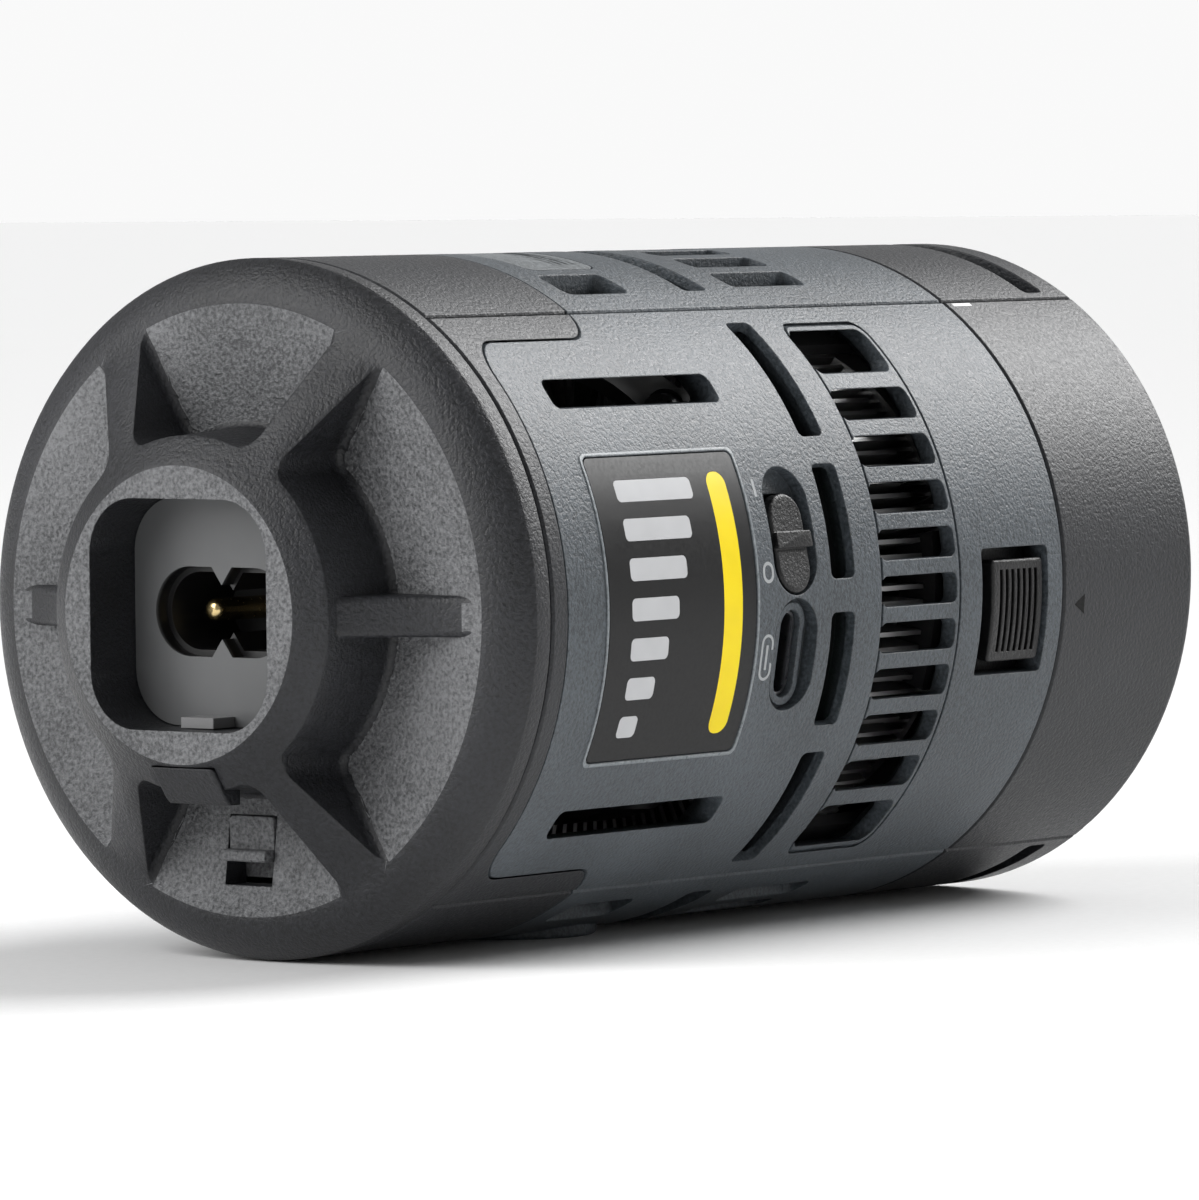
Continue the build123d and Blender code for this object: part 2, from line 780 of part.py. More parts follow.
with BuildPart() as fan_axle:
    with BuildSketch(station(fan_depth + 0.5)):
        Circle(axle_radius)
    extrude(amount=8.6)
finish(fan_axle, "fan_axle")

with BuildPart() as fan_motor:
    with BuildSketch(station(fan_depth + 3.4)):
        Circle(7.8)
        Circle(2.85, mode=Mode.SUBTRACT)
        with PolarLocations(6.6, 4):
            Rectangle(3.0, 1.6, mode=Mode.SUBTRACT)
    extrude(amount=5.1)
finish(fan_motor, "fan_motor")

with BuildPart() as fan_screws:
    with BuildSketch(station(fan_depth + fan_length)):
        with PolarLocations(26.6, 4, start_angle=45):
            Circle(2.4)
    extrude(amount=1.2)
    with BuildSketch(station(fan_depth - 0.9)):
        with PolarLocations(26.6, 4, start_angle=45):
            Circle(1.4)
    extrude(amount=fan_length + 0.9)
finish(fan_screws, "fan_screws")

# ---- release slider, lock pin, guide and spring --------------------------------------------------
button_width = 11.2
button_front = release_opening_depth + 0.5
button_half_angle = button_width / 2 / body_radius * 180 / pi
groove_pitch = 1.05
groove_width = 0.55
groove_border = 1.1
with BuildPart() as release_slider:
    add(arc_block(
        30.6, body_radius - 0.3, release_angle - button_half_angle, release_angle + button_half_angle,
        button_front, button_length, 0.5,
    ))
    button_top = release_slider.faces().filter_by(GeomType.CYLINDER).sort_by(SortBy.RADIUS)[-1]
    fillet(button_top.edges(), 0.3)
    reach = button_half_angle - groove_border / body_radius * 180 / pi
    for row in range(7):
        groove = arc_block(
            body_radius - 1.3, body_radius + 1, release_angle - reach, release_angle + reach,
            button_front + groove_border + groove_pitch * row, groove_width,
        )
        add(groove, mode=Mode.SUBTRACT)
    # The curved plate under the skin keeps the button in; its keel and front web carry the pin.
    add(arc_block(31.2, 32.7, release_angle - 13, release_angle + 13, 27.0, 11.6))
    add(arc_block(29.4, 31.6, release_angle - 6, release_angle + 6, 32.0, 6.4))
    add(arc_block(27.6, 32.4, release_angle - 4, release_angle + 4, 24.6, 2.7))
finish(release_slider, "release_slider")

with BuildPart() as lock_pin:
    with BuildSketch(station(8.2)):
        with PolarLocations(lock_pin_circle, 1, start_angle=release_angle):
            Circle(lock_pin_radius)
    extrude(amount=16.4)
    fillet(lock_pin.edges().filter_by(GeomType.CIRCLE).sort_by(Axis.Y)[-1], 0.4)
finish(lock_pin, "lock_pin")

with BuildPart() as slider_guide:
    add(arc_block(28.0, 29.0, release_angle - 14.5, release_angle + 14.5, 33.0, 11.0))
    add(arc_block(28.0, 32.8, release_angle - 14.5, release_angle + 14.5, 42.6, 1.6))
    for middle in (release_angle - 14.2, release_angle + 14.2):
        add(arc_block(28.0, 32.8, middle - 0.9, middle + 0.9, 33.0, 11.0))
finish(slider_guide, "slider_guide")

spring_start = (30.4 * cos(radians(release_angle)), -42.25, 30.4 * sin(radians(release_angle)))
coil("release_spring", 0.95, 0.3, 1.3, 3, spring_start, (0, 1, 0))

# ---- label ----------------------------------------------------------------------------------------
floor_radius = body_radius - label_recess
plate_half_angle = label_half_angle - label_gap / body_radius * 180 / pi


def stripe_block(grow, bottom, top):
    """The round-ended stripe along the label, between two radii."""
    with BuildPart() as block:
        add(arc_block(
            bottom, top, -stripe_half_angle - grow, stripe_half_angle + grow,
            stripe_depth - stripe_width / 2 - 0.02 * grow, stripe_width + 0.04 * grow, 1.4,
        ))
    return block.part


bar_angles = [-19.5, -13.0, -6.5, 0.0, 6.5, 13.0, 19.5]
bar_lengths = [3.0, 4.6, 6.2, 7.8, 9.4, 11.0, 12.6]
bars_depth = 88.0
bars_end = bars_depth + 12.6
with BuildPart() as label_plate:
    add(arc_block(
        floor_radius, body_radius, -plate_half_angle, plate_half_angle,
        label_depth + label_gap, label_length - 2 * label_gap, 0.8,
    ))
    add(stripe_block(0.05, body_radius - inlay, body_radius + 1), mode=Mode.SUBTRACT)
    for angle, length in zip(bar_angles, bar_lengths):
        bed = arc_block(
            body_radius - inlay, body_radius + 1, angle - 1.9, angle + 1.9, bars_end - length, length, 0.6
        )
        add(bed, mode=Mode.SUBTRACT)
finish(label_plate, "label_plate")

with BuildPart() as label_stripe:
    add(stripe_block(0, body_radius - inlay, body_radius))
finish(label_stripe, "label_stripe")

with BuildPart() as label_bars:
    for angle, length in zip(bar_angles, bar_lengths):
        add(arc_block(
            body_radius - inlay, body_radius, angle - 1.85, angle + 1.85, bars_end - length, length, 0.6
        ))
finish(label_bars, "label_bars")

# ---- power switch and USB socket ---------------------------------------------------------------------
with BuildPart() as power_switch_cap:
    rest = -switch_travel / 2
    with BuildSketch(skin(switch_angle, switch_depth, -1.8)):
        with Locations((0, rest)):
            SlotOverall(10.5, 5.6, rotation=90)
    extrude(amount=1.45)
    top_rim = power_switch_cap.faces().sort_by_distance((100, -switch_depth, 20))[0]
    fillet(top_rim.edges(), 0.4)
    with BuildSketch(skin(switch_angle, switch_depth, -1.0)):
        with Locations((0.2, rest + 0.3)):
            RectangleRounded(5.9, 1.7, 0.3)
    extrude(amount=1.1)
    with BuildSketch(skin(switch_angle, switch_depth, -3.6)):
        with Locations((0, rest)):
            Rectangle(2.4, 5.4)
    extrude(amount=2.0)
finish(power_switch_cap, "power_switch_cap")

with BuildPart() as power_switch_body:
    with BuildSketch(skin(switch_angle, switch_depth, -7.0)):
        Rectangle(8.6, 11.4)
    extrude(amount=3.2)
finish(power_switch_body, "power_switch_body")

with BuildPart() as usb_socket:
    with BuildSketch(skin(usb_angle, usb_depth, -8.1)):
        SlotOverall(9.0, 3.1, rotation=90)
    extrude(amount=6.4)
    with BuildSketch(skin(usb_angle, usb_depth, -1.7)):
        SlotOverall(8.4, 2.5, rotation=90)
    extrude(amount=-6.2, mode=Mode.SUBTRACT)
    with BuildSketch(skin(usb_angle, usb_depth, -8.0)):
        Rectangle(0.8, 6.6)
    extrude(amount=5.4)
finish(usb_socket, "usb_socket")

with BuildPart() as side_board:
    with BuildSketch(Plane.YZ.offset(25.3)):
        with Locations((-71.0, -1.0)):
            Rectangle(17.0, 25.0)
    extrude(amount=1.2)
finish(side_board, "side_board")

# ---- control panel on the far side ---------------------------------------------------------------------
with BuildPart() as display_window:
    with BuildSketch(Plane(origin=(-facet, 0, 0), x_dir=(0, -1, 0), z_dir=(-1, 0, 0))):
        with Locations((display_depth, 0)):
            RectangleRounded(display_length + 2.6, display_width + 2.6, 1.3)
    extrude(amount=0.5)
finish(display_window, "display_window")

with BuildPart() as display_module:
    with BuildSketch(Plane.YZ.offset(-facet + 0.1)):
        with Locations((-display_depth, 0)):
            Rectangle(display_length - 0.6, display_width - 0.6)
    extrude(amount=2.2)
finish(display_module, "display_module")

with BuildPart() as control_board:
    with BuildSketch(Plane.YZ.offset(-28.0)):
        with Locations((-87.0, 0)):
            Rectangle(33.0, 22.0)
    extrude(amount=1.2)
    # The two small switches under the buttons are soldered to the board.
    with BuildSketch(Plane(origin=(-28.0, 0, 0), x_dir=(0, -1, 0), z_dir=(-1, 0, 0))):
        with Locations((buttons_depth, button_height), (buttons_depth, -button_height)):
            Rectangle(5.0, 5.0)
    extrude(amount=1.2)
finish(control_board, "control_board")

with BuildPart() as dial_encoder:
    with BuildSketch(Plane.YZ.offset(-31.8)):
        with Locations((-knob_depth - 1.0, 0)):
            Rectangle(9.0, 11.0)
    extrude(amount=3.8)
finish(dial_encoder, "dial_encoder")

with BuildPart() as control_dial:
    with BuildSketch(side_face.offset(0.3)):
        with Locations((knob_depth, 0)):
            Circle(knob_radius)
            with PolarLocations(knob_radius, 30):
                Circle(0.22, mode=Mode.SUBTRACT)
    extrude(amount=5.2)
    dial_rim = control_dial.faces().sort_by(Axis.X)[0].edges()
    fillet([edge for edge in dial_rim if edge.radius > 3], 0.15)
    with BuildSketch(side_face.offset(0.3)):
        with Locations((knob_depth, 0)):
            Circle(3.0)
    extrude(amount=-2.6)
finish(control_dial, "control_dial")

for name, height in (("mode_button", button_height), ("effect_button", -button_height)):
    with BuildPart() as push_button:
        with BuildSketch(Plane(origin=(-30.0, 0, 0), x_dir=(0, -1, 0), z_dir=(-1, 0, 0))):
            with Locations((buttons_depth, height)):
                Circle(3.4)
        extrude(amount=0.9)
        with BuildSketch(Plane(origin=(-30.0, 0, 0), x_dir=(0, -1, 0), z_dir=(-1, 0, 0))):
            with Locations((buttons_depth, height)):
                Circle(2.6)
        extrude(amount=6.2)
        crown = push_button.faces().sort_by(Axis.X)[0]
        fillet(crown.edges(), 0.5)
    finish(push_button, name)

# ---- power supply -------------------------------------------------------------------------------------
board_level = -12.0
with BuildPart() as power_board:
    with BuildSketch(Plane.XY.offset(board_level)):
        with Locations((0, -91.5)):
            Rectangle(44.0, 32.0)
    extrude(amount=1.6)
finish(power_board, "power_board")

with BuildPart() as transformer:
    with BuildSketch(Plane.XY.offset(board_level + 1.6)):
        with Locations((-8.0, -88.0)):
            Rectangle(15.0, 17.0)
    extrude(amount=13.0)
    fillet(transformer.edges().filter_by(Axis.Z), 1.0)
finish(transformer, "transformer")

with BuildPart() as capacitors:
    with BuildSketch(Plane.XY.offset(board_level + 1.6)):
        with Locations((8.5, -83.0), (8.5, -95.0), (18.0, -86.0)):
            Circle(4.0)
    extrude(amount=15.0)
    fillet(capacitors.edges().filter_by(GeomType.CIRCLE).group_by(Axis.Z)[-1], 0.6)
finish(capacitors, "capacitors")

with BuildPart() as board_posts:
    with BuildSketch(Plane.XY.offset(board_level)):
        with Locations((-18.5, -78.5), (18.5, -78.5), (-18.5, -104.0), (18.5, -104.0)):
            Circle(2.4)
    extrude(amount=-10.0)
finish(board_posts, "board_posts")

# ---- mains inlet -----------------------------------------------------------------------------------------
with BuildPart() as inlet_body:
    with BuildSketch(station(inlet_depth - 2.6)):
        RectangleRounded(2 * inlet_half - 0.2, 2 * inlet_half - 0.2, inlet_corner - 0.1)
    extrude(amount=2.6)
    with BuildSketch(station(inlet_depth - 14.0)):
        RectangleRounded(21.4, 13.0, 3.0)
    extrude(amount=12.0)
    for lobe, depth in ((4.6, 1.8), (4.0, 11.5)):
        with BuildSketch(station(inlet_depth)):
            with Locations((-pin_spacing / 2, 0), (pin_spacing / 2, 0)):
                Circle(lobe)
            notch = lobe - 1.85
            shoulder = 1.35
            half = pin_spacing / 2
            with BuildLine():
                Polyline(
                    (-half, lobe), (-shoulder, lobe), (0, notch), (shoulder, lobe), (half, lobe),
                    (half, -lobe), (shoulder, -lobe), (0, -notch), (-shoulder, -lobe), (-half, -lobe),
                    close=True,
                )
            make_face()
        extrude(amount=-depth, mode=Mode.SUBTRACT)
    with BuildSketch(station(inlet_depth)):
        with Locations((8.6, -7.0)):
            Circle(1.1)
    extrude(amount=-1.5, mode=Mode.SUBTRACT)
finish(inlet_body, "inlet_body")

with BuildPart() as inlet_pins:
    with BuildSketch(station(inlet_depth - 11.5)):
        with Locations((-pin_spacing / 2, 0), (pin_spacing / 2, 0)):
            Circle(pin_radius)
    extrude(amount=8.2)
    tips = inlet_pins.edges().filter_by(GeomType.CIRCLE).group_by(Axis.Y)[0]
    fillet(tips, 0.9)
finish(inlet_pins, "inlet_pins")

with BuildPart() as inlet_clip:
    with BuildSketch(station(inlet_depth)):
        with Locations((-0.6, -inlet_half + 0.65)):
            Rectangle(4.4, 1.1)
    extrude(amount=3.4)
finish(inlet_clip, "inlet_clip")

# ---- tripod thread ----------------------------------------------------------------------------------------
with BuildPart() as tripod_insert:
    with BuildSketch(Plane.XY.offset(-boss_foot + 0.1)):
        with Locations((0, -tripod_depth)):
            Circle(4.95)
            Circle(tripod_bore_radius, mode=Mode.SUBTRACT)
    extrude(amount=tripod_insert_length)
finish(tripod_insert, "tripod_insert")
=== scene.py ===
"""Looks of a compact LED monolight head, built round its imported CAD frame.

Laid out as an add-on with one operator for each group of pieces, and run as a script.
"""

import math

import bmesh
import bpy
from mathutils import Matrix, Vector


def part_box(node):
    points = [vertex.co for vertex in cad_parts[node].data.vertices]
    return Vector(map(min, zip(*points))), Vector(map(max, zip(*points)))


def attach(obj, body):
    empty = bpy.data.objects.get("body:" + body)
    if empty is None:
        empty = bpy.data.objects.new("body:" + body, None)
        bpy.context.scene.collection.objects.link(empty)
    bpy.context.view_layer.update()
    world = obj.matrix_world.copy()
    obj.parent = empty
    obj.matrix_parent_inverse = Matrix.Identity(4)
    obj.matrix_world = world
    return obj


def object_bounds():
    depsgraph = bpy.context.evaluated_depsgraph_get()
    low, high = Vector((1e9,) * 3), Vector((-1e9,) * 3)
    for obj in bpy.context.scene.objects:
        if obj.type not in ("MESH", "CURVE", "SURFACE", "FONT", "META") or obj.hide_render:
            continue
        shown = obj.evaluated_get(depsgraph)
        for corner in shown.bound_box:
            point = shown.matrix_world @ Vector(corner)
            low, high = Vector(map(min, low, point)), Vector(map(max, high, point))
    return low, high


bl_info = {
    "name": "LED monolight head",
    "version": (1, 0, 0),
    "blender": (4, 5, 0),
    "location": "3D View > Sidebar > Monolight",
    "description": "Finishes, printed marks and studio for a compact LED monolight head",
    "category": "Object",
}

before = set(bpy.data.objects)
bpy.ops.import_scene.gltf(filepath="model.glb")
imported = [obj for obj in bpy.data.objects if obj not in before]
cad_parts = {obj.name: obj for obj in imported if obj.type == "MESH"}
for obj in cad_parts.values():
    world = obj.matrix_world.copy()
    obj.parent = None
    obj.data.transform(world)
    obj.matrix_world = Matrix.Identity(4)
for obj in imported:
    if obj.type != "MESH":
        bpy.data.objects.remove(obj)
CAD_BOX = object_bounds()

MM = 0.001

# Places worked out from the frame. The beam leaves along +Y; depths are measured from the mouth.
CASING_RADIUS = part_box("side_shell_right")[1].x
CAP_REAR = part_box("rear_cap")[0].y
HUB_FACE = CAP_REAR + 0.2 * MM
POCKET_EDGE = CAP_REAR + 8.0 * MM
RIM_EDGE = CAP_REAR + 12.6 * MM
SOCKET_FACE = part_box("inlet_body")[0].y
LABEL_LOW, LABEL_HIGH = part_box("label_plate")
COLLAR_DEPTH = -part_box("front_collar_right")[0].y
LEGEND_DEPTH = -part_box("power_switch_cap")[0].y + 2.0 * MM

# Angles of the printed marks round the body, in degrees from +X towards +Z.
LINE_ANGLE = 55.15
ON_ANGLE = 18.8
OFF_ANGLE = 4.6
ARROW_ANGLE = -4.5
SOCKET_ANGLE = -9.5

# The studio: directions are from the head; the sweep's edges are cosines from the view's middle.
RIM_IN_VIEW = Vector((-0.971, 0.0278, 25.60)) * CASING_RADIUS
FLOOR_HALF_WIDTH = 12.0
KEY_DIRECTION = Vector((0.20, 0.76, 0.62))
KEY_SPREAD = math.radians(40)
FILL_DIRECTION = Vector((-0.45, -0.75, 0.48))
FILL_SIZE = 0.8
SWEEP_OUTER = 0.97
SWEEP_INNER = 0.992


# ---- small helpers -----------------------------------------------------------------------------


def linear(hex_colour):
    """An sRGB hex value such as "5c6266" as a linear RGBA tuple."""
    values = [int(hex_colour[place:place + 2], 16) / 255 for place in (0, 2, 4)]
    curve = [v / 12.92 if v <= 0.04045 else ((v + 0.055) / 1.055) ** 2.4 for v in values]
    return (*curve, 1.0)


def add(tree, kind, inputs=None, **settings):
    """Adds a node with its settings; an input is a constant, or a socket that it is linked from."""
    made = tree.nodes.new(kind)
    for name, value in settings.items():
        setattr(made, name, value)
    for name, value in (inputs or {}).items():
        if isinstance(value, bpy.types.NodeSocket):
            tree.links.new(value, made.inputs[name])
        else:
            made.inputs[name].default_value = value
    return made


def new_material(name):
    """An empty node material with a Principled shader wired to its output."""
    made = bpy.data.materials.new(name)
    made.use_nodes = True
    tree = made.node_tree
    tree.nodes.clear()
    shader = add(tree, "ShaderNodeBsdfPrincipled")
    add(tree, "ShaderNodeOutputMaterial", {"Surface": shader.outputs["BSDF"]})
    return made, tree, shader


def grain_scale(size_mm):
    """Noise scale that draws features of that size, for object coordinates in metres."""
    return 1 / (size_mm * MM)


def finish_node(node, *materials, edge_mm=0.0):
    """Gives a CAD node its materials, and breaks its edges where a width is asked for."""
    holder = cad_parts.get(node)
    if holder is None:
        raise RuntimeError(f"the frame has no node {node}")
    slots = holder.data.materials
    slots.clear()
    for material in materials:
        slots.append(material)
    if edge_mm > 0:
        weld = holder.modifiers.new("weld", "WELD")
        weld.merge_threshold = 0.0005 * MM
        bevel = holder.modifiers.new("bevel", "BEVEL")
        bevel.width = edge_mm * MM
        bevel.segments = 2
        bevel.limit_method = "ANGLE"
        bevel.angle_limit = math.radians(28)
        bevel.harden_normals = True


# ---- materials ---------------------------------------------------------------------------------


def spark_abs(name, dark, light, grain_mm, depth_mm, roughness, opening_shade=None, edge_mm=0.22):
    """ABS moulded in a spark-eroded tool: a fine pitted skin that breaks the highlight into grains.

    The grain is drawn two or three times as coarse as the tool leaves it, so that it shows from a
    distance. With an opening-shade colour, the tone falls off to it inside the openings, away from
    the
    skin: painted shade on the openings' walls.
    """
    made, tree, shader = new_material(name)
    place = add(tree, "ShaderNodeTexCoord").outputs["Object"]
    grains = add(tree, "ShaderNodeTexNoise", {
        "Vector": place, "Scale": grain_scale(grain_mm), "Detail": 3.0, "Roughness": 0.6,
    })
    clouds = add(tree, "ShaderNodeTexNoise", {
        "Vector": place, "Scale": grain_scale(14.0), "Detail": 2.0,
    })
    blend = add(tree, "ShaderNodeMath", {
        0: clouds.outputs["Fac"], 1: 0.35, 2: grains.outputs["Fac"],
    }, operation="MULTIPLY_ADD")
    tone = add(tree, "ShaderNodeMapRange", {
        "Value": blend.outputs[0], "From Min": 0.5, "From Max": 0.85,
    })
    colour = add(tree, "ShaderNodeMix", {
        "Factor": tone.outputs["Result"], "A": dark, "B": light,
    }, data_type="RGBA")
    # Painted shade: inside the openings, below the skin's radius, the colour falls off to the
    # opening-shade colour in place of the shade on their walls.
    if opening_shade:
        parts = add(tree, "ShaderNodeSeparateXYZ", {"Vector": place})
        flat = add(tree, "ShaderNodeCombineXYZ", {"X": parts.outputs["X"], "Z": parts.outputs["Z"]})
        radius = add(tree, "ShaderNodeVectorMath", {0: flat.outputs["Vector"]}, operation="LENGTH")
        cover = add(tree, "ShaderNodeMapRange", {
            "Value": radius.outputs["Value"], "From Min": 33.6 * MM, "From Max": 35.0 * MM,
        })
        colour = add(tree, "ShaderNodeMix", {
            "Factor": cover.outputs["Result"], "A": opening_shade, "B": colour.outputs["Result"],
        }, data_type="RGBA")
    sheen = add(tree, "ShaderNodeMapRange", {
        "Value": grains.outputs["Fac"], "From Min": 0.3, "From Max": 0.7,
        "To Min": roughness - 0.1, "To Max": roughness + 0.1,
    })
    edges = add(tree, "ShaderNodeBevel", {"Radius": edge_mm * MM}, samples=6)
    pits = add(tree, "ShaderNodeBump", {
        "Height": grains.outputs["Fac"], "Distance": depth_mm * MM,
        "Normal": edges.outputs["Normal"],
    })
    tree.links.new(colour.outputs["Result"], shader.inputs["Base Color"])
    tree.links.new(sheen.outputs["Result"], shader.inputs["Roughness"])
    tree.links.new(pits.outputs["Normal"], shader.inputs["Normal"])
    shader.inputs["IOR"].default_value = 1.53
    shader.inputs["Specular IOR Level"].default_value = 0.42
    return made


def satin_plastic(name, colour, roughness, grain_mm=0.25, depth_mm=0.004):
    """Moulded plastic from a finely blasted tool: even satin with a barely visible orange peel."""
    made, tree, shader = new_material(name)
    place = add(tree, "ShaderNodeTexCoord").outputs["Object"]
    peel = add(tree, "ShaderNodeTexNoise", {
        "Vector": place, "Scale": grain_scale(grain_mm), "Detail": 2.0,
    })
    wear = add(tree, "ShaderNodeTexNoise", {
        "Vector": place, "Scale": grain_scale(6.0), "Detail": 3.0,
    })
    tint = add(tree, "ShaderNodeHueSaturation", {
        "Color": colour, "Hue": 0.5, "Saturation": 1.0,
        "Value": add(tree, "ShaderNodeMapRange", {
            "Value": wear.outputs["Fac"], "To Min": 0.85, "To Max": 1.15,
        }).outputs["Result"],
    })
    sheen = add(tree, "ShaderNodeMapRange", {
        "Value": wear.outputs["Fac"], "To Min": roughness - 0.07, "To Max": roughness + 0.07,
    })
    bump = add(tree, "ShaderNodeBump", {"Height": peel.outputs["Fac"], "Distance": depth_mm * MM})
    tree.links.new(tint.outputs["Color"], shader.inputs["Base Color"])
    tree.links.new(sheen.outputs["Result"], shader.inputs["Roughness"])
    tree.links.new(bump.outputs["Normal"], shader.inputs["Normal"])
    shader.inputs["IOR"].default_value = 1.53
    return made


def shaded_socket_plastic(name, colour):
    """Satin grey moulding that turns near-black more than half a millimetre into its deep socket:
    painted shade round the contacts.
    """
    made = satin_plastic(name, colour, 0.38)
    tree = made.node_tree
    shader = next(node for node in tree.nodes if node.type == "BSDF_PRINCIPLED")
    place = add(tree, "ShaderNodeTexCoord").outputs["Object"]
    parts = add(tree, "ShaderNodeSeparateXYZ", {"Vector": place})
    # Painted shade: past half a millimetre behind the socket's face the colour turns near-black.
    depth = add(tree, "ShaderNodeMapRange", {
        "Value": parts.outputs["Y"],
        "From Min": SOCKET_FACE + 0.1 * MM, "From Max": SOCKET_FACE + 0.5 * MM,
    })
    colour = add(tree, "ShaderNodeMix", {
        "Factor": depth.outputs["Result"], "A": shader.inputs["Base Color"].links[0].from_socket,
        "B": linear("0a0a0b"),
    }, data_type="RGBA")
    tree.links.new(colour.outputs["Result"], shader.inputs["Base Color"])
    return made


def printed_film(name, colour, roughness):
    """Screen-printed polycarbonate film: smooth, glossy ink with a trace of the film's ripple."""
    made, tree, shader = new_material(name)
    place = add(tree, "ShaderNodeTexCoord").outputs["Object"]
    ripple = add(tree, "ShaderNodeTexNoise", {
        "Vector": place, "Scale": grain_scale(3.0), "Detail": 1.0,
    })
    dust = add(tree, "ShaderNodeTexNoise", {
        "Vector": place, "Scale": grain_scale(0.4), "Detail": 4.0,
    })
    sheen = add(tree, "ShaderNodeMapRange", {
        "Value": dust.outputs["Fac"], "From Min": 0.35, "From Max": 0.75,
        "To Min": roughness, "To Max": roughness + 0.12,
    })
    tint = add(tree, "ShaderNodeHueSaturation", {
        "Color": colour, "Hue": 0.5, "Saturation": 1.0,
        "Value": add(tree, "ShaderNodeMapRange", {
            "Value": ripple.outputs["Fac"], "To Min": 0.94, "To Max": 1.06,
        }).outputs["Result"],
    })
    bump = add(tree, "ShaderNodeBump", {"Height": ripple.outputs["Fac"], "Distance": 0.01 * MM})
    tree.links.new(tint.outputs["Color"], shader.inputs["Base Color"])
    tree.links.new(sheen.outputs["Result"], shader.inputs["Roughness"])
    tree.links.new(bump.outputs["Normal"], shader.inputs["Normal"])
    shader.inputs["IOR"].default_value = 1.58
    shader.inputs["Specular IOR Level"].default_value = 0.25
    return made


def metal(name, colour, roughness, grain_mm, stretch=(1.0, 1.0, 1.0)):
    """Worked metal: the tool marks, stretched along one axis, spread the highlight across them."""
    made, tree, shader = new_material(name)
    place = add(tree, "ShaderNodeTexCoord").outputs["Object"]
    along = add(tree, "ShaderNodeMapping", {"Vector": place, "Scale": stretch})
    marks = add(tree, "ShaderNodeTexNoise", {
        "Vector": along.outputs["Vector"], "Scale": grain_scale(grain_mm), "Detail": 3.0,
    })
    tint = add(tree, "ShaderNodeHueSaturation", {
        "Color": colour, "Hue": 0.5, "Saturation": 1.0,
        "Value": add(tree, "ShaderNodeMapRange", {
            "Value": marks.outputs["Fac"], "To Min": 0.8, "To Max": 1.15,
        }).outputs["Result"],
    })
    sheen = add(tree, "ShaderNodeMapRange", {
        "Value": marks.outputs["Fac"], "To Min": roughness - 0.1, "To Max": roughness + 0.12,
    })
    bump = add(tree, "ShaderNodeBump", {"Height": marks.outputs["Fac"], "Distance": 0.004 * MM})
    tree.links.new(tint.outputs["Color"], shader.inputs["Base Color"])
    tree.links.new(sheen.outputs["Result"], shader.inputs["Roughness"])
    tree.links.new(bump.outputs["Normal"], shader.inputs["Normal"])
    shader.inputs["Metallic"].default_value = 1.0
    return made


def clear_glass(name, tint):
    """Float glass, clear or tinted, with a faint smear that only shows in its reflection."""
    made, tree, shader = new_material(name)
    place = add(tree, "ShaderNodeTexCoord").outputs["Object"]
    smear = add(tree, "ShaderNodeTexNoise", {
        "Vector": place, "Scale": grain_scale(9.0), "Detail": 2.0,
    })
    sheen = add(tree, "ShaderNodeMapRange", {
        "Value": smear.outputs["Fac"], "To Min": 0.02, "To Max": 0.08,
    })
    tree.links.new(sheen.outputs["Result"], shader.inputs["Roughness"])
    shader.inputs["Base Color"].default_value = tint
    shader.inputs["Transmission Weight"].default_value = 1.0
    shader.inputs["IOR"].default_value = 1.5
    return made


def circuit_board(name):
    """Solder mask over copper: green lacquer with paler tracks and small pads."""
    made, tree, shader = new_material(name)
    place = add(tree, "ShaderNodeTexCoord").outputs["Object"]
    tracks = add(tree, "ShaderNodeTexBrick", {
        "Vector": place, "Scale": grain_scale(8.0), "Mortar Size": 0.03,
        "Color1": linear("0f4a28"), "Color2": linear("14552e"), "Mortar": linear("2c7a47"),
    })
    pads = add(tree, "ShaderNodeTexVoronoi", {"Vector": place, "Scale": grain_scale(2.6)})
    spot = add(tree, "ShaderNodeMath", {
        0: pads.outputs["Distance"], 1: 0.16,
    }, operation="LESS_THAN")
    colour = add(tree, "ShaderNodeMix", {
        "Factor": spot.outputs[0], "A": tracks.outputs["Color"], "B": linear("b9b6a8"),
    }, data_type="RGBA")
    tree.links.new(colour.outputs["Result"], shader.inputs["Base Color"])
    shader.inputs["Roughness"].default_value = 0.35
    return made


def phosphor_gel(name):
    """Phosphor in silicone over the LED chips: matt yellow with the chips' grid showing through."""
    made, tree, shader = new_material(name)
    place = add(tree, "ShaderNodeTexCoord").outputs["Object"]
    chips = add(tree, "ShaderNodeTexVoronoi", {
        "Vector": place, "Scale": grain_scale(1.4), "Randomness": 0.0,
    })
    tone = add(tree, "ShaderNodeMapRange", {"Value": chips.outputs["Distance"], "From Max": 0.7})
    colour = add(tree, "ShaderNodeMix", {
        "Factor": tone.outputs["Result"], "A": linear("e0c030"), "B": linear("f2dc6a"),
    }, data_type="RGBA")
    tree.links.new(colour.outputs["Result"], shader.inputs["Base Color"])
    shader.inputs["Roughness"].default_value = 0.45
    return made


# ---- printed marks -----------------------------------------------------------------------------


def on_skin(angle, depth, lift):
    """A point on the casing's skin: angle in degrees from +X towards +Z, depth behind the mouth."""
    turn = math.radians(angle)
    radius = CASING_RADIUS + lift
    return Vector((radius * math.cos(turn), -depth, radius * math.sin(turn)))


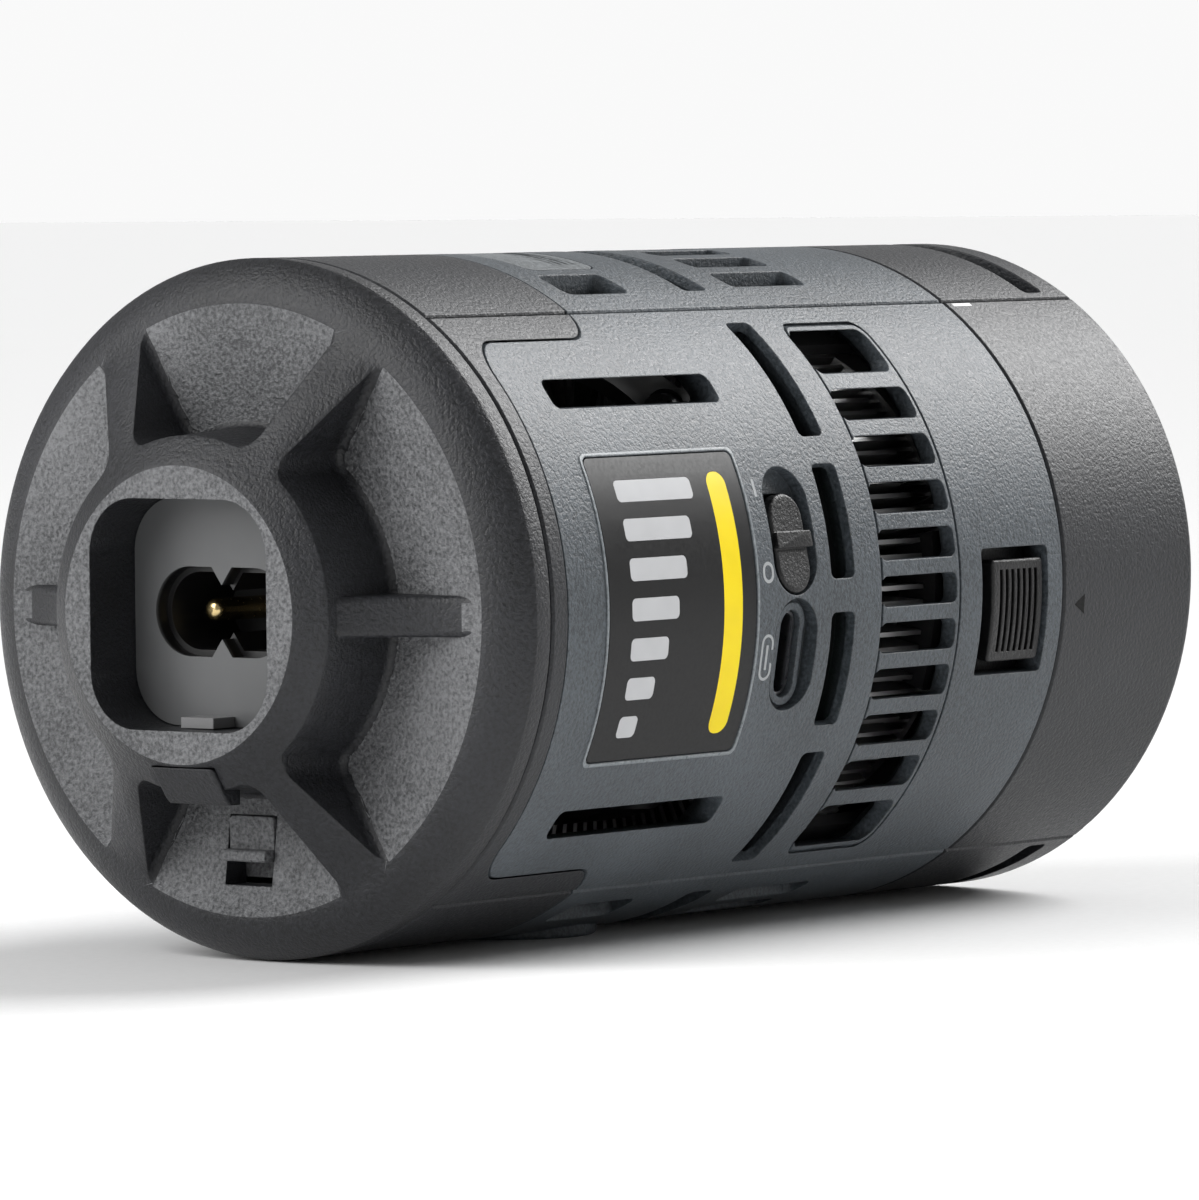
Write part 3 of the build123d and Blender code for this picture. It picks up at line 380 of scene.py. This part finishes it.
def printed_mark(name, outlines, angle, depth, material, thickness=0.02 * MM):
    """Ink bent round the skin: flat outlines in metres, x to the front and y up round the body."""
    made = bmesh.new()
    for outline in outlines:
        rings = []
        for lift in (-thickness, thickness):
            ring = []
            for x, y in outline:
                turn = angle + math.degrees(y / CASING_RADIUS)
                ring.append(made.verts.new(on_skin(turn, depth - x, lift)))
            rings.append(ring)
        low, high = rings
        made.faces.new(high)
        made.faces.new(list(reversed(low)))
        for place, corner in enumerate(high):
            after = (place + 1) % len(high)
            made.faces.new((low[place], low[after], high[after], corner))
    bmesh.ops.recalc_face_normals(made, faces=made.faces[:])
    mesh = bpy.data.meshes.new(name)
    made.to_mesh(mesh)
    made.free()
    mark = bpy.data.objects.new(name, mesh)
    bpy.context.scene.collection.objects.link(mark)
    mesh.materials.append(material)
    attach(mark, "casing")


def bar(length, width, x=0.0, y=0.0):
    """A rectangle's outline: length along x, width along y."""
    return [
        (x - length / 2, y - width / 2), (x + length / 2, y - width / 2),
        (x + length / 2, y + width / 2), (x - length / 2, y + width / 2),
    ]


def ring_quads(outer, inner):
    """The quads between two outlines with the same number of points."""
    quads = []
    for place in range(len(outer)):
        after = (place + 1) % len(outer)
        quads.append([outer[place], outer[after], inner[after], inner[place]])
    return quads


def rounded_outline(length, width, corner, steps=6, spans=24):
    """A rounded rectangle's outline, with points along its long sides so that it can bend."""
    points = []
    centres = ((1, 1), (-1, 1), (-1, -1), (1, -1))
    for quarter, (right, up) in enumerate(centres):
        middle = (right * (length / 2 - corner), up * (width / 2 - corner))
        for step in range(steps + 1):
            turn = math.pi / 2 * (quarter + step / steps)
            points.append((
                middle[0] + corner * math.cos(turn), middle[1] + corner * math.sin(turn),
            ))
        if quarter in (1, 3):
            first, reach = points[-1], width - 2 * corner
            for span in range(1, spans):
                points.append((first[0], first[1] - up * reach * span / spans))
    return points


def stadium_ring(length, width, line, turns=10):
    """The quads of a stadium's outline, long along y."""
    def edge(grow):
        radius = width / 2 + grow
        reach = (length - width) / 2
        points = []
        for side in (1, -1):
            for step in range(turns + 1):
                turn = math.pi * step / turns + (0 if side > 0 else math.pi)
                points.append((radius * math.cos(turn), side * reach + radius * math.sin(turn)))
        return points
    return ring_quads(edge(line / 2), edge(-line / 2))


# ---- settings ----------------------------------------------------------------------------------


class FinishSettings(bpy.types.PropertyGroup):
    """Colours and grain that a user would change."""

    body_dark: bpy.props.FloatVectorProperty(
        name="Body, dark", description="Darker tone of the casing", subtype="COLOR",
        size=4, min=0.0, max=1.0, default=linear("383d41"),
    )
    body_light: bpy.props.FloatVectorProperty(
        name="Body, light", description="Lighter tone of the casing", subtype="COLOR",
        size=4, min=0.0, max=1.0, default=linear("555c62"),
    )
    cap_dark: bpy.props.FloatVectorProperty(
        name="Cap, dark", description="Darker tone of the rear cap", subtype="COLOR",
        size=4, min=0.0, max=1.0, default=linear("141517"),
    )
    cap_light: bpy.props.FloatVectorProperty(
        name="Cap, light", description="Lighter tone of the rear cap", subtype="COLOR",
        size=4, min=0.0, max=1.0, default=linear("292a2e"),
    )
    stripe: bpy.props.FloatVectorProperty(
        name="Stripe", description="Colour of the label's stripe", subtype="COLOR",
        size=4, min=0.0, max=1.0, default=linear("ffe200"),
    )
    grain: bpy.props.FloatProperty(
        name="Grain", description="Size of the moulded grain in mm", default=0.42, min=0.05,
    )


class StageSettings(bpy.types.PropertyGroup):
    """Camera and light."""

    view_angle: bpy.props.FloatProperty(
        name="View angle", description="Turn of the camera from straight behind", subtype="ANGLE",
        default=math.radians(38.25),
    )
    view_height: bpy.props.FloatProperty(
        name="View height", description="Angle that the camera looks down", subtype="ANGLE",
        default=math.radians(2.5),
    )
    head_roll: bpy.props.FloatProperty(
        name="Head roll", description="Roll of the head about its own axis", subtype="ANGLE",
        default=math.radians(-1.2),
    )
    lens: bpy.props.FloatProperty(
        name="Lens", description="Focal length in mm", default=270.0, min=10.0, unit="CAMERA",
    )
    key_strength: bpy.props.FloatProperty(
        name="Key", description="Strength of the key light in W/m²", default=3.6, min=0.0,
    )
    fill_power: bpy.props.FloatProperty(
        name="Fill", description="Power of the rear fill", default=9.0, min=0.0, unit="POWER",
    )
    surround_strength: bpy.props.FloatProperty(
        name="Surround", description="Strength of the dim surround", default=0.3, min=0.0,
    )
    sweep_strength: bpy.props.FloatProperty(
        name="Sweep", description="Strength of the white behind the head", default=0.95, min=0.0,
    )


# ---- operators ---------------------------------------------------------------------------------


class MONOLIGHT_OT_stage(bpy.types.Operator):
    """Floor, surround, lights and camera"""

    bl_idname = "monolight.stage"
    bl_label = "Studio"

    def execute(self, context):
        stage = context.scene.monolight_stage
        context.scene.view_settings.view_transform = "Standard"
        self.make_camera(context, stage)
        self.make_floor(context)
        self.make_lights(context, stage)
        return {"FINISHED"}

    def make_camera(self, context, stage):
        """The camera keeps the rear rim's centre at a fixed place in its view."""
        side, cos_side = math.sin(stage.view_angle), math.cos(stage.view_angle)
        rise, cos_rise = math.sin(stage.view_height), math.cos(stage.view_height)
        cos_roll, sin_roll = math.cos(stage.head_roll), math.sin(stage.head_roll)
        along = Vector((0, 1, 0))
        across = Vector((cos_roll, 0, -sin_roll))
        upward = Vector((sin_roll, 0, cos_roll))
        right = cos_side * across + side * cos_rise * along - side * rise * upward
        down = -rise * along - cos_rise * upward
        forward = -side * across + cos_side * cos_rise * along - cos_side * rise * upward
        rim = Vector((0, RIM_EDGE, 0))
        place = rim - right * RIM_IN_VIEW.x - down * RIM_IN_VIEW.y - forward * RIM_IN_VIEW.z
        camera = bpy.data.cameras.new("camera")
        camera.lens = stage.lens
        camera.sensor_width = 36.0
        camera.clip_start = 0.05
        holder = bpy.data.objects.new("camera", camera)
        turn = Matrix((right, -down, -forward)).transposed()
        holder.matrix_world = Matrix.Translation(place) @ turn.to_4x4()
        context.scene.collection.objects.link(holder)
        context.scene.camera = holder

    def make_floor(self, context):
        """A wide pale floor just under the lowest point of the head."""
        low, _ = CAD_BOX
        half = FLOOR_HALF_WIDTH
        mesh = bpy.data.meshes.new("floor")
        corners = [(-half, -half), (half, -half), (half, half), (-half, half)]
        mesh.from_pydata([(x, y, low.z) for x, y in corners], [], [(0, 1, 2, 3)])
        floor = bpy.data.objects.new("floor", mesh)
        context.scene.collection.objects.link(floor)
        paper, tree, shader = new_material("backdrop_paper")
        place = add(tree, "ShaderNodeTexCoord").outputs["Object"]
        tooth = add(tree, "ShaderNodeTexNoise", {
            "Vector": place, "Scale": grain_scale(1.0), "Detail": 2.0,
        })
        tone = add(tree, "ShaderNodeMix", {
            "Factor": tooth.outputs["Fac"], "A": linear("eeeeee"), "B": linear("f6f6f6"),
        }, data_type="RGBA")
        tree.links.new(tone.outputs["Result"], shader.inputs["Base Color"])
        shader.inputs["Roughness"].default_value = 0.9
        mesh.materials.append(paper)

    def make_lights(self, context, stage):
        """A broad key from the front and above, a soft fill from behind, and a dim surround."""
        middle = Vector((0, (CAD_BOX[0].y + CAD_BOX[1].y) / 2, 0))
        key = bpy.data.lights.new("key", "SUN")
        key.energy = stage.key_strength
        key.angle = KEY_SPREAD
        fill = bpy.data.lights.new("fill", "AREA")
        fill.shape = "SQUARE"
        fill.size = FILL_SIZE
        fill.energy = stage.fill_power
        for data, direction in ((key, KEY_DIRECTION), (fill, FILL_DIRECTION)):
            lamp = bpy.data.objects.new(data.name, data)
            lamp.location = middle + direction.normalized()
            lamp.rotation_mode = "QUATERNION"
            lamp.rotation_quaternion = (-direction).to_track_quat("-Z", "Y")
            context.scene.collection.objects.link(lamp)
        self.make_surround(context, stage)

    def make_surround(self, context, stage):
        """White behind the object and dim elsewhere, like a lit sweep in a dark studio."""
        world = bpy.data.worlds.new("surround")
        context.scene.world = world
        world.use_nodes = True
        tree = world.node_tree
        behind = (-math.sin(stage.view_angle), math.cos(stage.view_angle), 0.0)
        gaze = add(tree, "ShaderNodeTexCoord").outputs["Generated"]
        nearness = add(tree, "ShaderNodeVectorMath", {0: gaze, 1: behind}, operation="DOT_PRODUCT")
        strength = add(tree, "ShaderNodeMapRange", {
            "Value": nearness.outputs["Value"], "From Min": SWEEP_OUTER, "From Max": SWEEP_INNER,
            "To Min": stage.surround_strength, "To Max": stage.sweep_strength,
        })
        background = tree.nodes["Background"]
        background.inputs["Color"].default_value = (1, 1, 1, 1)
        tree.links.new(strength.outputs["Result"], background.inputs["Strength"])


class MONOLIGHT_OT_casing(bpy.types.Operator):
    """Moulded casing: side, top and bottom shells, skirt and collar"""

    bl_idname = "monolight.casing"
    bl_label = "Casing"

    def execute(self, context):
        look = context.scene.monolight_finish
        # The body's colour darkens to 15181a inside its openings: painted shade on their walls.
        body = spark_abs(
            "body_abs", look.body_dark, look.body_light, look.grain,
            depth_mm=0.14, roughness=0.42, opening_shade=linear("15181a"),
        )
        skirt = spark_abs(
            "skirt_abs", linear("17181b"), linear("2b2d31"), look.grain,
            depth_mm=0.13, roughness=0.45,
        )
        collar = spark_abs(
            "collar_abs", linear("17181b"), linear("2a2c30"), look.grain,
            depth_mm=0.12, roughness=0.43,
        )
        pad = spark_abs(
            "pad_abs", linear("55595b"), linear("7c8083"), look.grain * 1.3,
            depth_mm=0.14, roughness=0.5,
        )
        for node in ("side_shell_right", "side_shell_left", "top_shell", "bottom_shell"):
            finish_node(node, body)
        finish_node("top_pad", pad)
        for side in ("right", "left", "top", "bottom"):
            finish_node(f"rear_skirt_{side}", skirt)
            finish_node(f"front_collar_{side}", collar)
        return {"FINISHED"}


class MONOLIGHT_OT_rear(bpy.types.Operator):
    """Rear cap with its textured pockets, the latch and the mains inlet"""

    bl_idname = "monolight.rear"
    bl_label = "Rear"

    def execute(self, context):
        look = context.scene.monolight_finish
        smooth = spark_abs(
            "cap_abs", look.cap_dark, look.cap_light, look.grain, depth_mm=0.16, roughness=0.44,
        )
        coarse = spark_abs(
            "pocket_abs", linear("3f4042"), linear("7a7b7d"), look.grain * 0.95,
            depth_mm=0.34, roughness=0.5,
        )
        finish_node("rear_cap", smooth, coarse, edge_mm=0.45)
        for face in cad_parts["rear_cap"].data.polygons:
            in_pocket = face.normal.y < -0.98 and face.center.y > POCKET_EDGE
            on_hub = face.normal.y < -0.99 and face.center.y < HUB_FACE
            face.material_index = 1 if in_pocket or on_hub else 0
        finish_node("latch_cover", smooth, edge_mm=0.2)
        finish_node("rear_latch", coarse, edge_mm=0.2)
        # The inlet's deep socket carries painted shade.
        finish_node("inlet_body", shaded_socket_plastic("inlet_abs_painted_shade", linear("565758")), edge_mm=0.12)
        clip = satin_plastic("clip_abs", linear("747475"), roughness=0.45)
        finish_node("inlet_clip", clip, edge_mm=0.1)
        plated = metal("plated_brass", linear("d8c08a"), roughness=0.22, grain_mm=0.5)
        finish_node("inlet_pins", plated)
        return {"FINISHED"}


class MONOLIGHT_OT_label(bpy.types.Operator):
    """Label plate with its stripe and level bars"""

    bl_idname = "monolight.label"
    bl_label = "Label"

    def execute(self, context):
        look = context.scene.monolight_finish
        finish_node("label_plate", printed_film("label_film", linear("0d0d0e"), roughness=0.36))
        finish_node("label_stripe", printed_film("stripe_ink", look.stripe, roughness=0.35))
        finish_node("label_bars", printed_film("bar_ink", linear("c4c5c7"), roughness=0.4))
        length = LABEL_HIGH.y - LABEL_LOW.y
        width = 2 * CASING_RADIUS * math.asin(LABEL_HIGH.z / CASING_RADIUS)
        outer, inner = (
            rounded_outline(length + grow * MM, width + grow * MM, 0.9 * MM) for grow in (1.1, 0.4)
        )
        depth = -(LABEL_LOW.y + LABEL_HIGH.y) / 2
        # The lip is coloured far lighter than the body: painted highlight along the label's raised
        # edge.
        lip = spark_abs(
            "lip_painted_highlight", linear("6a7074"), linear("8c9296"), look.grain,
            depth_mm=0.05, roughness=0.35,
        )
        printed_mark("label_lip", ring_quads(outer, inner), 0.0, depth, lip, thickness=0.08 * MM)
        return {"FINISHED"}


class MONOLIGHT_OT_controls(bpy.types.Operator):
    """Switch, socket, slider, and the dial, display and buttons of the far side"""

    bl_idname = "monolight.controls"
    bl_label = "Controls"

    def execute(self, context):
        black = satin_plastic("control_abs", linear("101011"), roughness=0.42)
        grip = spark_abs(
            "switch_abs", linear("060607"), linear("121213"), 0.35, depth_mm=0.1, roughness=0.4,
        )
        for node in ("control_dial", "mode_button", "effect_button", "power_switch_body"):
            finish_node(node, black)
        finish_node("release_slider", grip, edge_mm=0.08)
        finish_node("power_switch_cap", grip, edge_mm=0.12)
        stamped = metal("stamped_steel", linear("8c8d90"), roughness=0.3, grain_mm=0.4)
        finish_node("usb_socket", stamped)
        finish_node("display_window", clear_glass("display_glass", linear("2a2d30")))
        for node in ("display_module", "dial_encoder"):
            finish_node(node, satin_plastic(f"{node}_abs", linear("0d0e10"), roughness=0.2))
        return {"FINISHED"}


class MONOLIGHT_OT_marks(bpy.types.Operator):
    """Printed marks: arrow and line on the collar, signs by the switch and the socket"""

    bl_idname = "monolight.marks"
    bl_label = "Marks"

    def execute(self, context):
        grey = printed_film("mark_ink", linear("a9acae"), roughness=0.5)
        black = printed_film("arrow_ink", linear("010101"), roughness=0.7)
        white = printed_film("line_ink", linear("f2f2f2"), roughness=0.5)
        arrow = [(-1.0 * MM, 0.0), (0.8 * MM, -1.1 * MM), (0.8 * MM, 1.1 * MM)]
        printed_mark("collar_arrow", [arrow], ARROW_ANGLE, COLLAR_DEPTH - 3.0 * MM, black)
        line = bar(3.3 * MM, 0.5 * MM)
        printed_mark("collar_line", [line], LINE_ANGLE, COLLAR_DEPTH - 2.8 * MM, white)
        on_bar = bar(0.4 * MM, 1.9 * MM)
        printed_mark("on_sign", [on_bar], ON_ANGLE, LEGEND_DEPTH, grey)
        off_ring = stadium_ring(1.9 * MM, 1.5 * MM, 0.35 * MM)
        printed_mark("off_sign", off_ring, OFF_ANGLE, LEGEND_DEPTH, grey)
        socket_sign = stadium_ring(4.6 * MM, 1.7 * MM, 0.3 * MM) + [bar(0.35 * MM, 2.6 * MM)]
        printed_mark("socket_sign", socket_sign, SOCKET_ANGLE, LEGEND_DEPTH, grey)
        return {"FINISHED"}


class MONOLIGHT_OT_inside(bpy.types.Operator):
    """Mount, lamp, heat sink, fan and boards"""

    bl_idname = "monolight.inside"
    bl_label = "Inside"

    def execute(self, context):
        dull = satin_plastic("inner_abs", linear("19191a"), roughness=0.6)
        for node in ("chassis", "lamp_barrel", "board_posts", "slider_guide", "fan_frame",
                     "fan_rotor", "led_frame"):
            finish_node(node, dull)
        extruded = metal(
            "sink_aluminium", linear("b8b8b8"), roughness=0.38, grain_mm=0.6, stretch=(1, 0.1, 1),
        )
        finish_node("heat_sink", extruded)
        anodised = metal("black_anodised_aluminium", linear("2a2a2c"), roughness=0.4, grain_mm=0.3)
        finish_node("accessory_mount", anodised)
        steel = metal("plated_steel", linear("b4b4b6"), roughness=0.3, grain_mm=0.4)
        for node in ("mount_screws", "heat_sink_screws", "fan_screws", "fan_axle", "lock_pin",
                     "release_spring", "latch_spring"):
            finish_node(node, steel)
        turned = metal(
            "turned_brass", linear("c9a75c"), roughness=0.25, grain_mm=0.3, stretch=(1, 1, 6),
        )
        finish_node("tripod_insert", turned)
        finish_node("front_glass", clear_glass("lens_glass", linear("eef4f2")))
        finish_node("glass_seal", satin_plastic("silicone_rubber", linear("202020"), roughness=0.7))
        mirror = metal("metallised_reflector", linear("e6e6e8"), roughness=0.12, grain_mm=1.5)
        finish_node("reflector", mirror)
        finish_node("led_board", satin_plastic("white_mask", linear("e8e8e4"), roughness=0.4))
        finish_node("led_emitter", phosphor_gel("phosphor"))
        board = circuit_board("solder_mask")
        for node in ("power_board", "side_board", "control_board"):
            finish_node(node, board)
        tape = satin_plastic("transformer_tape", linear("7a6420"), roughness=0.35)
        finish_node("transformer", tape)
        sleeve = satin_plastic("capacitor_sleeve", linear("18222e"), roughness=0.3)
        finish_node("capacitors", sleeve)
        wound = metal(
            "copper_winding", linear("b06a3c"), roughness=0.35, grain_mm=0.3, stretch=(1, 8, 1),
        )
        finish_node("fan_motor", wound)
        return {"FINISHED"}


class MONOLIGHT_PT_panel(bpy.types.Panel):
    """Lists the operators in the sidebar"""

    bl_label = "Monolight"
    bl_space_type = "VIEW_3D"
    bl_region_type = "UI"
    bl_category = "Monolight"

    def draw(self, context):
        for step in STEPS:
            self.layout.operator(step.bl_idname)


STEPS = (
    MONOLIGHT_OT_stage, MONOLIGHT_OT_casing, MONOLIGHT_OT_rear, MONOLIGHT_OT_label,
    MONOLIGHT_OT_controls, MONOLIGHT_OT_marks, MONOLIGHT_OT_inside,
)
CLASSES = (FinishSettings, StageSettings, *STEPS, MONOLIGHT_PT_panel)


def register():
    for made in CLASSES:
        bpy.utils.register_class(made)
    bpy.types.Scene.monolight_finish = bpy.props.PointerProperty(type=FinishSettings)
    bpy.types.Scene.monolight_stage = bpy.props.PointerProperty(type=StageSettings)


def unregister():
    del bpy.types.Scene.monolight_stage
    del bpy.types.Scene.monolight_finish
    for made in reversed(CLASSES):
        bpy.utils.unregister_class(made)


def main():
    """Runs every operator in order."""
    register()
    for step in STEPS:
        group, action = step.bl_idname.split(".")
        if getattr(getattr(bpy.ops, group), action)() != {"FINISHED"}:
            raise RuntimeError(f"{step.bl_idname} did not finish")


if __name__ == "__main__":
    main()
